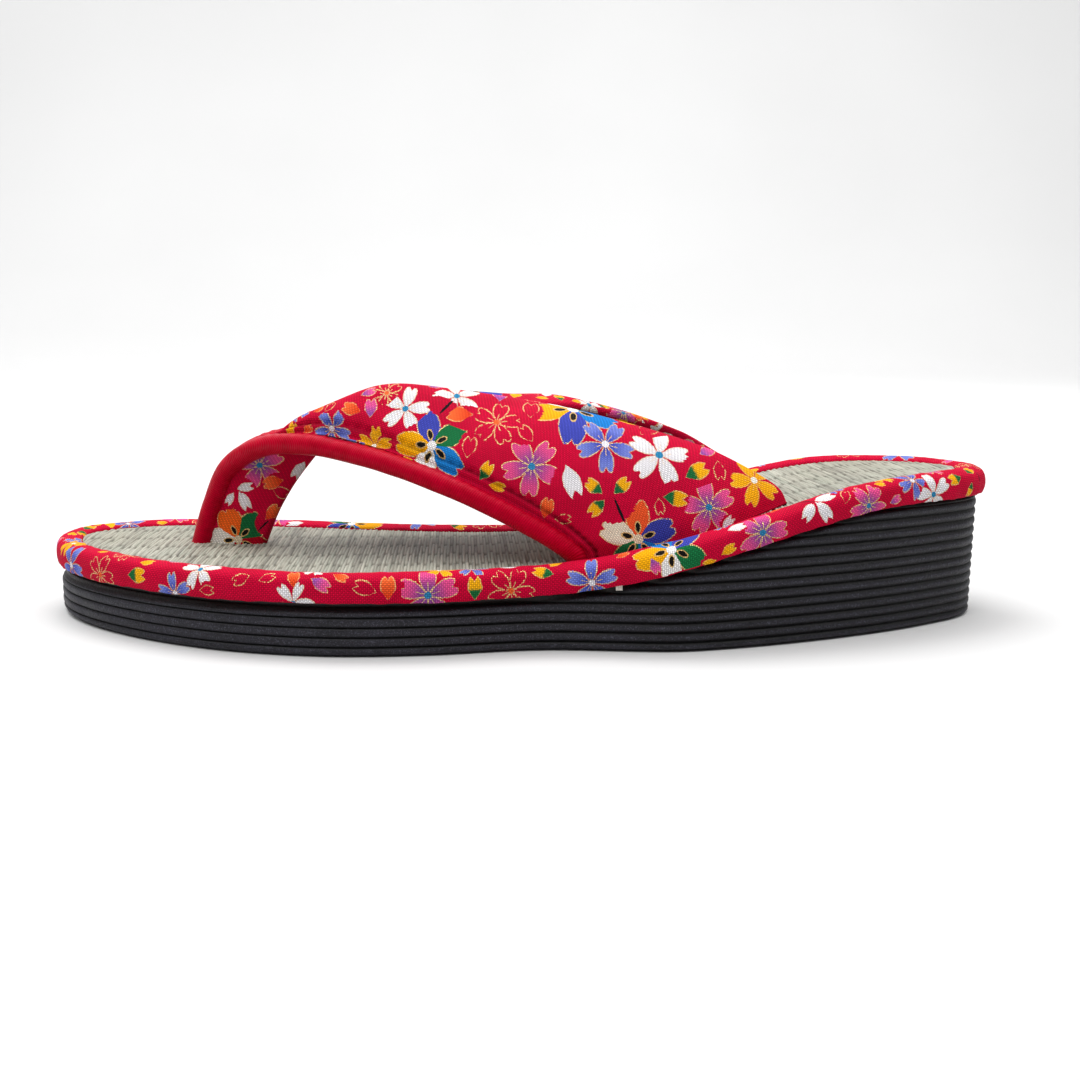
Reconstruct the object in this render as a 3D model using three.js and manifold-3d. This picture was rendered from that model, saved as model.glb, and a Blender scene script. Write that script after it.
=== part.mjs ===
// A zori, the flat thonged sandal worn with kimono and yukata: the left one of a pair.
// A wedge of moulded foam rubber carries a footbed, a thin board under a woven rush mat, and
// a padded rim wrapped in printed cotton runs all round its edge. The strap, or hanao, is one
// wide padded V of the same cotton: its two bands are pinched together between the first two
// toes, spread over the instep, and go down into the footbed at the sides of the arch. A satin
// piping is sewn along the front edge of each band.
// Millimetres, +Z up, the toe towards -X, the little-toe side towards -Y, the ground at Z = 0.

import * as THREE from 'three';
import { mergeVertices } from 'three/addons/utils/BufferGeometryUtils.js';
import Module from 'manifold-3d';

const wasm = await Module();
wasm.setup();

// ---- driving sizes ----
const gap = 0.3;              // clearance between neighbouring pieces
const toe_tip = -121.0;       // the foam sole, tip to tip, is 242.2 long
const heel_tip = 121.2;
const toe_height = 13.2;      // foam under the toes and the ball
const ramp_slope = 0.265;     // the foam rises through the arch
const ramp_start = 10.4;      // where the rise begins and ends, along X
const ramp_end = 83.9;
const ramp_soft = 7.2;        // how gradually it begins and ends
const spring_start = -92;     // the tread lifts forward of this, up to the toe
const toe_spring = 0.9;
const tread_round = 1.5;      // rounding of the tread edge
const top_bevel = 0.6;        // small bevel round the foam's top edge
const rim_width = 5.5;        // rim inside the foam's outline
const rim_lean = 0.3;         // the rim overhangs the foam this share more at the heel, less at the toe
const board_thick = 3.3;
const mat_thick = 1.6;
const mat_top = 5.5;          // mat surface above the foam
const mat_bevel = 0.4;        // small bevel round the mat's top edge
const pipe_radius = 2.65;
const sheet_thick = 3.0;      // padded cotton of the strap
const edge_thick = 0.55;      // the band's thickness at its edges, as a share of sheet_thick
const edge_round = 0.6;       // how far its rounded edge reaches past, as a share of half the thickness
const cut_deep = 3;           // how far the cutters for the strap's slots go down past its ends
const to_origin = [-0.6, 1.0, 0];   // brings the middle of the whole sandal over the origin

const stations = 46;          // sections along the sole
const across = 9;             // strips across a band
const pipe_sides = 10;

// ---- short tables, a row per section: each name is a column ----

// Outline of the foam sole from toe to heel: little-toe side and big-toe side.
const outline = {
  x:       [toe_tip, -119, -115, -109, -98, -83, -66, -45, -24, 4, 34, 50, 70, 90, 105, 116, heel_tip],
  lateral: [18, 8, -0.5, -8.5, -19, -29.5, -37.5, -42.5, -42.5, -39, -42, -39.5, -33.5, -25.5, -17.5, -9.5, 3],
  medial:  [18, 27, 32.5, 36.5, 40.5, 41, 38, 33, 28, 25, 29, 32, 33, 29.5, 24.5, 16.5, 3],
};

// Section of the wrapped rim: distance outside the foam's outline, and height above the foam.
const rim_section = {
  out:    [-5.5, 0.4, 0.5, 1.0, 1.4, 1.5, 1.35, 0.8, -0.4, -2.0, -3.7, -5.0, -5.5],
  height: [0.3, 0.3, -0.4, -0.3, 0.8, 2.2, 3.65, 4.95, 5.85, 6.25, 6.1, 5.7, 5.2],
};

// The three long lines of each band. Places along them are counted in steps from 0, at the foot
// of the toe post, to 16, in the footbed beside the arch; each column lies at its own step.
const steps = [0, 2, 4, 6, 8, 9, 10, 11, 12, 14, 15, 16];

// The strap's front edge, which is the middle of its piping.
const front_edge = {
  x:       [-82.5, -79, -74, -64, -51.5, -44.5, -34.5, -23, -12.5, 4, 11.5, 13],
  lateral: [6.5, 6, 3.5, -2.5, -9.5, -12.5, -17.5, -22.5, -26, -30, -31, -31],
  medial:  [12.5, 12, 11, 10.5, 14.5, 16.5, 18, 18.5, 18.5, 17.5, 17, 17],
  z:       [17.5, 28.5, 38.5, 44.5, 45.5, 44.5, 42.5, 39, 35, 27, 22, 19.5],
};

// The middle of each band's sheet.
const crown = {
  x:         [-74, -70.5, -64, -55, -42, -33.5, -22, -9.5, 3, 24.5, 36, 38.5],
  lateral:   [4.5, 4.5, 2.5, -2, -6, -8, -11.5, -16, -22, -30, -33, -34],
  lateral_z: [17.5, 28.5, 39.5, 49, 56, 58, 56, 52.5, 49.5, 40, 31, 25.5],
  medial:    [9, 8.5, 8.5, 10, 11.5, 12.5, 13.5, 15, 17, 20.5, 22, 22],
  medial_z:  [17.5, 28.5, 39.5, 49, 55, 56, 55, 53.5, 52.5, 44.5, 33, 25.5],
};

// The back of the post, then the valley between the bands, then each band's rear edge.
const rear_edge = {
  x:         [-66, -61, -54.5, -46, -32, -22, -8.5, 5, 19, 45.5, 60.5, 64],
  lateral:   [4, 4, 3.5, 3, 1.5, 0, -2, -3.5, -10, -20.5, -24, -25],
  lateral_z: [17.5, 28.5, 38.5, 47, 52.5, 54, 54.5, 54, 51.5, 44.5, 37, 32.5],
  medial:    [4, 4, 3.5, 3, 1.5, 0, -2, -3, 6, 19, 22, 23],
  medial_z:  [17.5, 28.5, 38.5, 47, 52.5, 54, 54.5, 54, 52.5, 44.5, 37, 32.5],
};

// ---- reading a table: a smooth cubic through its rows ----
function through(keys, values, k) {
  let i = 0;
  while (i < keys.length - 2 && k > keys[i + 1]) i++;
  const slope = (j) => {
    const a = Math.max(j - 1, 0), b = Math.min(j + 1, keys.length - 1);
    return (values[b] - values[a]) / (keys[b] - keys[a]);
  };
  const w = keys[i + 1] - keys[i], t = (k - keys[i]) / w;
  return values[i] * (1 + 2 * t) * (1 - t) ** 2 + slope(i) * w * t * (1 - t) ** 2
    + values[i + 1] * t * t * (3 - 2 * t) + slope(i + 1) * w * t * t * (t - 1);
}

// ---- heights of the foam ----
const rise = (x, start) => ramp_soft * Math.log1p(Math.exp((x - start) / ramp_soft));
const foam_top = (x) => toe_height + ramp_slope * (rise(x, ramp_start) - rise(x, ramp_end));
const tread = (x) => toe_spring * (Math.max(0, spring_start - x) / (spring_start - toe_tip)) ** 2;

// ---- rings round the sole ----
// The outline is followed by angle, as on an ellipse, so that both tips close round.
// A ring goes from the toe along the little-toe side to the heel and back.
const middle = (toe_tip + heel_tip) / 2, half_length = (heel_tip - toe_tip) / 2;
const angle = (x) => Math.acos(Math.max(-1, Math.min(1, (middle - x) / half_length)));
const outline_angles = outline.x.map(angle);
const outline_ring = [];
for (let i = 0; i < 2 * stations; i++) {
  const turn = Math.PI * (i <= stations ? i : 2 * stations - i) / stations;
  const side = i <= stations ? outline.lateral : outline.medial;
  outline_ring.push(new THREE.Vector2(
    middle - half_length * Math.cos(turn), through(outline_angles, side, turn)));
}
const outward = outline_ring.map((_, i) => {
  const n = outline_ring.length;
  const along = outline_ring[(i + 1) % n].clone().sub(outline_ring[(i + n - 1) % n]).normalize();
  return new THREE.Vector2(along.y, -along.x);
});

// A ring pushed out by `out`, with its height from its own place along the sole.
function ring(out, height) {
  return outline_ring.map((p, i) => {
    const lean = out > 0 ? 1 + rim_lean * (p.x - middle) / half_length : 1;
    const q = p.clone().addScaledVector(outward[i], out * lean);
    return new THREE.Vector3(q.x, q.y, height(q.x));
  });
}

// ---- closed bodies from rings ----
function body(points, triangles) {
  const g = new THREE.BufferGeometry();
  g.setAttribute('position', new THREE.Float32BufferAttribute(points.flatMap((p) => [p.x, p.y, p.z]), 3));
  g.setIndex(triangles);
  return g;
}

// Walls between rings of equal count; `round` joins the last ring back to the first.
function walls(rings, round) {
  const n = rings[0].length, triangles = [];
  const count = round ? rings.length : rings.length - 1;
  for (let j = 0; j < count; j++) {
    for (let i = 0; i < n; i++) {
      const a = j * n + i, b = j * n + (i + 1) % n;
      const c = ((j + 1) % rings.length) * n + i, d = ((j + 1) % rings.length) * n + (i + 1) % n;
      triangles.push(a, b, d, a, d, c);
    }
  }
  return triangles;
}

// A slab of the sole: its rings from the bottom up, closed by strips from side to side.
function slab(rings) {
  const n = rings[0].length, triangles = walls(rings, false), top = (rings.length - 1) * n;
  for (let k = 0; k < stations; k++) {
    const a = k, b = k + 1, c = (n - k - 1) % n, d = (n - k) % n;
    if (b !== c) triangles.push(a, c, b, top + a, top + b, top + c);
    if (a !== d) triangles.push(a, d, c, top + a, top + c, top + d);
  }
  return body(rings.flat(), triangles);
}

// A tube or strip: closed loops one after another, with a flat cap at each end.
function loft(loops) {
  const n = loops[0].length, triangles = walls(loops, false), last = (loops.length - 1) * n;
  for (let i = 1; i < n / 2; i++) {
    const a = i - 1, b = i, c = n - i - 1, d = n - i;
    triangles.push(a % n, c, b, a % n, d % n, c);
    triangles.push(last + (a % n), last + b, last + c, last + (a % n), last + c, last + (d % n));
  }
  return body(loops.flat(), triangles);
}

// ---- joining and cutting ----
function solid(geometry) {
  let g = geometry.clone();
  g.deleteAttribute('normal');
  g = mergeVertices(g, 1e-4);
  const s = new wasm.Manifold(new wasm.Mesh({
    numProp: 3,
    vertProperties: new Float32Array(g.attributes.position.array),
    triVerts: new Uint32Array(g.index.array),
  }));
  return s;
}
function geometry_of(s) {
  const m = s.getMesh(), g = new THREE.BufferGeometry();
  const xyz = new Float32Array((m.vertProperties.length / m.numProp) * 3);
  for (let i = 0; i < xyz.length / 3; i++) {
    for (let k = 0; k < 3; k++) xyz[3 * i + k] = m.vertProperties[m.numProp * i + k];
  }
  g.setAttribute('position', new THREE.BufferAttribute(xyz, 3));
  g.setIndex(new THREE.BufferAttribute(new Uint32Array(m.triVerts), 1));
  return g;
}

// ---- sole, board, mat and rim ----
const foam = slab([
  ring(-tread_round, (x) => tread(x)),
  ring(-tread_round * 0.3, (x) => tread(x) + tread_round * 0.3),
  ring(0, (x) => tread(x) + tread_round),
  ring(0, (x) => foam_top(x) - top_bevel),
  ring(-top_bevel, (x) => foam_top(x)),
]);
const bed_out = -rim_width - gap;
const board = slab([
  ring(bed_out, (x) => foam_top(x) + gap),
  ring(bed_out, (x) => foam_top(x) + gap + board_thick),
]);
const mat_slab = slab([
  ring(bed_out, (x) => foam_top(x) + mat_top - mat_thick),
  ring(bed_out, (x) => foam_top(x) + mat_top - mat_bevel),
  ring(bed_out - mat_bevel, (x) => foam_top(x) + mat_top),
]);
const rim_rings = rim_section.out.map((out, j) => ring(out, (x) => foam_top(x) + rim_section.height[j]));
const rim_body = body(rim_rings.flat(), walls(rim_rings, true));

// ---- strap ----
const last = steps[steps.length - 1];
const line = (table, side, t) => new THREE.Vector3(
  through(steps, table.x, t), through(steps, table[side], t), through(steps, table.z ?? table[side + '_z'], t));

// A band's sheet is a bowed surface: across it, from the front edge (s = 0) over the crown
// (s = 0.5) to the rear edge (s = 1), runs the parabola through those three points.
function sheet(side, t, s) {
  const f = line(front_edge, side, t), m = line(crown, side, t), r = line(rear_edge, side, t);
  const pull = m.clone().multiplyScalar(2).addScaledVector(f, -0.5).addScaledVector(r, -0.5);
  return f.multiplyScalar((1 - s) ** 2).addScaledVector(pull, 2 * s * (1 - s)).addScaledVector(r, s * s);
}

// One band with its half of the toe post, `grow` fatter all round. `deep` carries both ends
// further down, which makes the cutter for the slots.
function band(side, grow, deep, parts) {
  const half_thick = sheet_thick / 2 + grow, loops = [];
  const hand = side === 'lateral' ? 1 : -1;
  for (let k = 0; k <= last * parts; k++) {
    const t = k / parts, upper = [], lower = [];
    const span = sheet(side, t, 0).distanceTo(sheet(side, t, 0.1)) / 0.1;
    const s0 = (pipe_radius + gap + half_thick - 2 * grow) / span;
    const s1 = 1 - (half_thick * edge_round - 1.6 * grow) / span;
    for (let j = 0; j <= across; j++) {
      const s = s0 + (s1 - s0) * j / across;
      const ds = sheet(side, t, s + 0.02).sub(sheet(side, t, s - 0.02));
      const t0 = Math.max(t - 0.1, 0), t1 = Math.min(t + 0.1, last);
      const dt = sheet(side, t1, s).sub(sheet(side, t0, s));
      const face = ds.cross(dt).normalize().multiplyScalar(-hand);
      const edge = j === 0 || j === across ? edge_thick : 1;
      const p = sheet(side, t, s);
      upper.push(p.clone().addScaledVector(face, half_thick * edge));
      lower.unshift(p.clone().addScaledVector(face, -half_thick * edge));
    }
    const rim = (s, ds) => sheet(side, t, s).addScaledVector(
      sheet(side, t, s + ds).sub(sheet(side, t, s)).normalize(), half_thick * edge_round);
    const loop = [...upper, rim(s1, 0.02), ...lower, rim(s0, -0.02)];
    if (hand > 0) loop.reverse();
    loops.push(loop);
  }
  if (deep) {
    loops.unshift(loops[0].map((p) => p.clone().setZ(p.z - deep)));
    loops.push(loops[loops.length - 1].map((p) => p.clone().setZ(p.z - deep)));
  }
  return loft(loops);
}

// The piping: a round cord along the front edge.
function piping(side, grow, deep, parts) {
  const loops = [];
  let up = new THREE.Vector3(0, side === 'lateral' ? -1 : 1, 0);
  for (let k = 0; k <= last * parts; k++) {
    const t = k / parts;
    const along = line(front_edge, side, Math.min(t + 0.1, last))
      .sub(line(front_edge, side, Math.max(t - 0.1, 0))).normalize();
    if (k === 0 || k === last * parts) along.set(0, 0, k === 0 ? 1 : -1);
    up = up.addScaledVector(along, -up.dot(along)).normalize();
    const across = along.clone().cross(up), centre = line(front_edge, side, t), loop = [];
    for (let i = 0; i < pipe_sides; i++) {
      const a = 2 * Math.PI * i / pipe_sides;
      loop.push(centre.clone().addScaledVector(up, Math.cos(a) * (pipe_radius + grow))
        .addScaledVector(across, Math.sin(a) * (pipe_radius + grow)));
    }
    loops.push(loop);
  }
  if (deep) {
    loops.unshift(loops[0].map((p) => p.clone().setZ(p.z - deep)));
    loops.push(loops[loops.length - 1].map((p) => p.clone().setZ(p.z - deep)));
  }
  return loft(loops);
}

const fine = 2, coarse = 1;   // sections per step: for a piece, and for a cutter
const pipe_lateral = solid(piping('lateral', 0, 0, fine));
const pipe_medial = solid(piping('medial', 0, 0, fine));
const pipe_room = (grow) => solid(piping('lateral', grow, cut_deep, fine))
  .add(solid(piping('medial', grow, cut_deep, fine)));
const upper = solid(band('lateral', 0, 0, fine)).add(solid(band('medial', 0, 0, fine)))
  .subtract(pipe_room(gap));
const slack = 0.1;            // extra room for the coarser sections of the cutters
const room = solid(band('lateral', gap + slack, cut_deep, coarse))
  .add(solid(band('medial', gap + slack, cut_deep, coarse))).add(pipe_room(gap + 2 * slack));
const largest = (s) => s.decompose().sort((a, b) => b.volume() - a.volume())[0];
const mat = largest(solid(mat_slab).subtract(room));
const rim = largest(solid(rim_body).subtract(room));

// ---- the sandal ----
const finish = {
  foam: new THREE.MeshStandardMaterial({ color: 0x2b2b2e, roughness: 0.75, metalness: 0 }),
  board: new THREE.MeshStandardMaterial({ color: 0x8a7a60, roughness: 0.9, metalness: 0 }),
  rush: new THREE.MeshStandardMaterial({ color: 0xb9b298, roughness: 0.8, metalness: 0 }),
  print: new THREE.MeshStandardMaterial({ color: 0xc4122f, roughness: 0.8, metalness: 0 }),
  satin: new THREE.MeshStandardMaterial({ color: 0xc00a24, roughness: 0.5, metalness: 0 }),
};
const sandal = new THREE.Group();
function add(name, geometry, material) {
  geometry.translate(...to_origin);
  geometry.computeVertexNormals();
  const mesh = new THREE.Mesh(geometry, material);
  mesh.name = name;
  sandal.add(mesh);
}
add('outsole_foam', foam, finish.foam);
add('footbed_board', board, finish.board);
add('rush_mat', geometry_of(mat), finish.rush);
add('edge_binding', geometry_of(rim), finish.print);
add('strap', geometry_of(upper), finish.print);
add('piping_lateral', geometry_of(pipe_lateral), finish.satin);
add('piping_medial', geometry_of(pipe_medial), finish.satin);

export default sandal;
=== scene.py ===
# A zori, the flat thonged sandal worn with kimono and yukata: the left one of a pair.
# A ribbed foam wedge carries a board, a woven rush mat and a padded rim of printed cotton. Two
# padded bands of the same cotton, piped with red satin, make the strap.
# The frame: metres, +Z up, toe towards -X, little-toe side towards -Y, standing on Z = 0.
# The tables are in millimetres, and each piece is brought to metres as its mesh is made.

import bmesh
import bpy
import numpy as np
from mathutils import Matrix, Vector


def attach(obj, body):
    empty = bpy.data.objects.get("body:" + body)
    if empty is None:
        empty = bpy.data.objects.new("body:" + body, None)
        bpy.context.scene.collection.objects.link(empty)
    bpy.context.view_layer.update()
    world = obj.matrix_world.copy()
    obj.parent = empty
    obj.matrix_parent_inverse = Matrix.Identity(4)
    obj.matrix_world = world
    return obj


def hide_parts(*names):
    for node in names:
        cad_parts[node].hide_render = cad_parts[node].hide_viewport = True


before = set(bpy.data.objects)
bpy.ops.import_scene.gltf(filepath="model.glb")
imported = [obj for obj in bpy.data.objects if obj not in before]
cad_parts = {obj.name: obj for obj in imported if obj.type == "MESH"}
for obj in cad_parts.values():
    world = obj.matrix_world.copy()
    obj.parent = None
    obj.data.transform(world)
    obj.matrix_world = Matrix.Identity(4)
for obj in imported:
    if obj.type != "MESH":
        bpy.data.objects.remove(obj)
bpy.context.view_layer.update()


# ==== foam sole ====
# One block of EVA foam rubber, moulded with fine level ribs all round its wall: five of them
# under the toes and fourteen at the wedge heel. Its tread lifts a little towards the toe.

mm = 0.001
to_origin = np.array([-0.6, 1.0, 0.0])    # brings the middle of the sandal over the origin
toe_tip, heel_tip = -121.0, 121.2
middle, half_length = (toe_tip + heel_tip) / 2, (heel_tip - toe_tip) / 2
toe_height = 13.2                   # foam under the toes and the ball
ramp_start, ramp_end = 10.4, 83.9   # the foam rises through the arch
ramp_slope = 0.265
ramp_soft = 7.2                     # how gradually the rise begins and ends
spring_start = -92                  # the tread lifts forward of this, up to the toe
toe_spring = 0.9
top_bevel, bevel_height = 0.6, 0.3

# Outline of the sole from toe to heel: little-toe side and big-toe side.
outline = {
    "x": [toe_tip, -119, -115, -109, -98, -83, -66, -45, -24, 4, 34, 50, 70, 90, 105, 116, heel_tip],
    "lateral": [18, 8, -0.5, -8.5, -19, -29.5, -37.5, -42.5, -42.5, -39, -42, -39.5, -33.5, -25.5,
                -17.5, -9.5, 3],
    "medial": [18, 27, 32.5, 36.5, 40.5, 41, 38, 33, 28, 25, 29, 32, 33, 29.5, 24.5, 16.5, 3],
}


def through(keys, values, k):
    """A smooth cubic through the columns of a table. Its slope at a column is that of the chord
    between the neighbours."""
    keys, values, k = (np.asarray(a, float) for a in (keys, values, k))
    last = len(keys) - 1
    i = np.clip(np.searchsorted(keys, k) - 1, 0, last - 1)
    before, after = np.append(0, np.arange(last)), np.append(np.arange(last) + 1, last)
    slope = (values[after] - values[before]) / (keys[after] - keys[before])
    width = keys[i + 1] - keys[i]
    t = (k - keys[i]) / width
    return (values[i] * (1 + 2 * t) * (1 - t) ** 2 + slope[i] * width * t * (1 - t) ** 2
            + values[i + 1] * t * t * (3 - 2 * t) + slope[i + 1] * width * t * t * (t - 1))


def joined(*parts):
    """Numbers of shapes that fit each other, brought to one shape and joined as its last axis."""
    return np.stack(np.broadcast_arrays(*parts), -1)


def all_round(count):
    """Angles evenly spaced all the way round."""
    return 2 * np.pi * np.arange(count) / count


def sole_edge(turn):
    """The outline followed by angle, as on an ellipse, so that both tips close round: x is the
    cosine of the turn and y comes from the table of that side. Toe at 0, heel at pi."""
    turn = np.mod(turn, 2 * np.pi)
    fold = np.where(turn <= np.pi, turn, 2 * np.pi - turn)
    keys = np.arccos(np.clip((middle - np.array(outline["x"])) / half_length, -1, 1))
    y = np.where(turn <= np.pi, through(keys, outline["lateral"], fold),
                 through(keys, outline["medial"], fold))
    return joined(middle - half_length * np.cos(turn), y)


def outwards(turn):
    """The level direction square to the outline, pointing away from the sole."""
    step = sole_edge(turn + 0.01) - sole_edge(turn - 0.01)
    step /= np.linalg.norm(step, axis=-1, keepdims=True)
    return joined(step[..., 1], -step[..., 0])


def rise(x, start):
    """A slope of 1 past start, that begins softly: the soft-plus curve."""
    return ramp_soft * np.log1p(np.exp((x - start) / ramp_soft))


def foam_top(x):
    """Height of the foam: level under the toes, a ramp through the arch, level heel."""
    return toe_height + ramp_slope * (rise(x, ramp_start) - rise(x, ramp_end))


def tread(x):
    """Height of the underside: level, and lifting as a square towards the toe."""
    return toe_spring * (np.maximum(0, spring_start - x) / (spring_start - toe_tip)) ** 2


def quads(rows, columns, round_rows, round_columns):
    """The corners of every face of a grid, as unwrapped (row, column) pairs."""
    i, j = np.meshgrid(np.arange(rows - 1 + round_rows), np.arange(columns - 1 + round_columns),
                       indexing="ij")
    i, j = i.ravel(), j.ravel()
    return np.stack([i, i + 1, i + 1, i], 1), np.stack([j, j, j + 1, j + 1], 1)


def surface(name, points, round_rows=False, round_columns=False, cloth=None, weld=False, **marks):
    """A mesh over a grid of points in millimetres, four-sided faces between neighbours. cloth is a
    flat place in millimetres for every unwrapped grid point, kept as the UV map "cloth"; marks are
    numbers for every point."""
    rows, columns = points.shape[:2]
    i, j = quads(rows, columns, round_rows, round_columns)
    faces = (i % rows) * columns + j % columns
    mesh = bpy.data.meshes.new(name)
    mesh.vertices.add(rows * columns)
    mesh.vertices.foreach_set("co", ((points + to_origin) * mm).astype(np.float32).ravel())
    mesh.loops.add(faces.size)
    mesh.loops.foreach_set("vertex_index", faces.ravel().astype(np.int32))
    mesh.polygons.add(len(faces))
    mesh.polygons.foreach_set("loop_start", np.arange(0, faces.size, 4, dtype=np.int32))
    mesh.update(calc_edges=True)
    mesh.polygons.foreach_set("use_smooth", np.ones(len(faces), bool))
    if cloth is not None:
        layer = mesh.uv_layers.new(name="cloth")
        layer.uv.foreach_set("vector", cloth[i, j].astype(np.float32).ravel())
    for key, value in marks.items():
        mark = mesh.attributes.new(key, "FLOAT", "POINT")
        mark.data.foreach_set("value", value.astype(np.float32).ravel())
    piece = bpy.data.objects.new(name, mesh)
    bpy.context.scene.collection.objects.link(piece)
    if weld:
        join_poles(piece)
    return piece


def join_poles(piece):
    """Joins the points that a closed tip gathers in one place."""
    shape = bmesh.new()
    shape.from_mesh(piece.data)
    bmesh.ops.remove_doubles(shape, verts=shape.verts, dist=2e-6)
    bmesh.ops.dissolve_degenerate(shape, edges=shape.edges, dist=1e-7)
    shape.to_mesh(piece.data)
    shape.free()


# Heights of the grooves above the ground, nearly even and a little wider apart towards the top.
# Nine levels trace each rib from one groove to the next.
rib_pitch, rib_growth = 2.2648, 0.0036
number = np.arange(16)
groove = rib_pitch * (number + rib_growth * number ** 2)
rib_share = np.array([0.0, 0.05, 0.12, 0.24, 0.42, 0.6, 0.76, 0.88, 0.95])
levels = (groove[:-1, None] + np.diff(groove)[:, None] * rib_share).ravel()
turns = all_round(560)

edge, out = sole_edge(turns), outwards(turns)
heelward = 0.5 + 0.5 * (edge[:, 0] - middle) / half_length    # 0 at the toe, 1 at the heel
at_heel = heelward ** 6
low = tread(edge[:, 0])
high = foam_top(edge[:, 0]) - bevel_height
z = np.clip(levels[:, None], low, high)
from_crest = np.abs(2 * (np.interp(z, groove, number) % 1) - 1)
# The ribs are flat-faced at the toe and round like rods from the arch back, and their grooves
# are shallower at the heel.
flat = 3.0 - 1.3 * np.clip(2 * heelward - 0.3, 0, 1)
sunk = 1 - (1 - from_crest ** flat) ** (1 / flat)
toe_groove, heel_groove = 1.0, 0.6
groove_depth = toe_groove + (heel_groove - toe_groove) * at_heel
# The foot of the wall is rounded, and the heel leans in below a certain height.
foot_radius, heel_lean, lean_height = 1.2, 0.4, 30
foot_round = foot_radius * np.clip(1 - (z - low) / foot_radius, 0, 1) ** 2
taper = heel_lean * at_heel * np.clip(1 - z / lean_height, 0, 1)
# The top of the wall, where the rim is glued on, is set back, more of it at the toe.
toe_glued, heel_glued, glued_soft, setback = 3.6, 1.2, 0.9, 1.2
glued = toe_glued + (heel_glued - toe_glued) * heelward
under_lip = np.clip((glued - high + z) / glued_soft, 0, 1)
inward = groove_depth * sunk + foot_round + taper + setback * under_lip
wall = np.concatenate([edge - out * inward[..., None], z[..., None]], -1)


def closing(ring, steps):
    """Rings that carry a ring in to the line along the middle of the sole, where its two sides
    meet point by point."""
    centre = (ring + ring[(-np.arange(len(ring))) % len(ring)]) / 2
    share = np.linspace(0, 1, steps)[1:, None, None]
    return ring + (centre - ring) * share


lip = wall[-1] - np.pad(out * top_bevel, ((0, 0), (0, 1)))
lip[:, 2] = foam_top(lip[:, 0])
underside = closing(wall[0], 5)[::-1]
foam_points = np.concatenate([underside, wall, lip[None], closing(lip, 3)])
groove_shade_mark, rim_shade_mark = np.zeros((2, *foam_points.shape[:2]))
wall_rows = slice(len(underside), len(underside) + len(wall))
# Painted shade: the foam's colour goes to near black down in each groove.
groove_shade_mark[wall_rows] = np.clip(sunk * (5 + 1.5 * heelward) - 0.6, 0, 1)
# Painted shade under the overhang of the rim, over the set-back top of the wall.
rim_shade_mark[wall_rows] = under_lip
foam = surface("foam_sole", foam_points[:, ::-1], round_columns=True, weld=True,
               groove=groove_shade_mark[:, ::-1], under_rim=rim_shade_mark[:, ::-1])


def linear(code):
    """An sRGB hex colour as linear red, green, blue and alpha; two more digits give the alpha."""
    values = [int(code[k:k + 2], 16) / 255 for k in range(1, len(code), 2)]
    alpha = values[3] if len(values) > 3 else 1.0
    return [c / 12.92 if c <= 0.04045 else ((c + 0.055) / 1.055) ** 2.4 for c in values[:3]] + [alpha]


def spread(marks, values, new):
    """Makes as many marks as there are values, from the two that are there, and pairs them."""
    for _ in values[2:]:
        new()
    return zip(marks, values)


def new_material(name):
    """An empty material, and the function that adds a node to it. The values that come first fill
    the node's sockets in order; a named one fills the setting or the socket of that name. A node
    given as a value links from its first output, and a colour is a hex code. stops are a colour
    ramp's places and colours, points a curve's. A kind in capitals is a step of arithmetic."""
    material = bpy.data.materials.new(name)
    material.use_nodes = True
    tree = material.node_tree
    tree.nodes.clear()

    def node(kind, *first, stops=(), points=(), **rest):
        made = tree.nodes.new("ShaderNode" + ("Math" if kind.isupper() else kind))
        if kind.isupper():
            made.operation = kind
        if stops:
            marks = made.color_ramp.elements
            for mark, (at, code) in spread(marks, stops, lambda: marks.new(1.0)):
                mark.position, mark.color = at, linear(code)
        if points:
            curve = made.mapping.curves[0].points
            for mark, at in spread(curve, points, lambda: curve.new(0.5, 0.5)):
                mark.location = at
            made.mapping.update()
        given = list(enumerate(first))
        for key, value in rest.items():
            if hasattr(made, key):
                setattr(made, key, value)
            else:
                given.append((key.replace("_", " "), value))
        for key, value in given:
            if isinstance(value, bpy.types.Node):
                value = value.outputs[0]
            if isinstance(value, bpy.types.NodeSocket):
                tree.links.new(value, made.inputs[key])
            else:
                made.inputs[key].default_value = linear(value) if isinstance(value, str) else value
        return made

    return material, node


def wear(piece, material):
    """Gives a piece its one material."""
    piece.data.materials.clear()
    piece.data.materials.append(material)


# Foamed EVA, moulded: black-grey and satin, its skin peppered with fine pale grains of about
# 0.3 mm, with painted shade down in the grooves, and a dark brown painted shade just under the rim.
eva, node = new_material("moulded_eva_foam")
spot = node("TexCoord").outputs["Object"]
grain = node("TexNoise", spot, Scale=3200.0, Detail=2.0)
cloud = node("TexNoise", spot, Scale=160.0, Detail=3.0)
skin = node("ValToRGB", cloud, stops=[(0.3, "#15141a"), (0.7, "#24232b")])
pepper = node("ValToRGB", grain, stops=[(0.52, "#000000"), (0.70, "#5a5966")])
peppered = node("MixRGB", 0.5, skin, pepper, blend_type="ADD")
# Painted shade down in the grooves.
groove_shade_fac = node("Attribute", attribute_name="groove").outputs["Fac"]
shaded = node("MixRGB", groove_shade_fac, peppered, "#030304")
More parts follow.
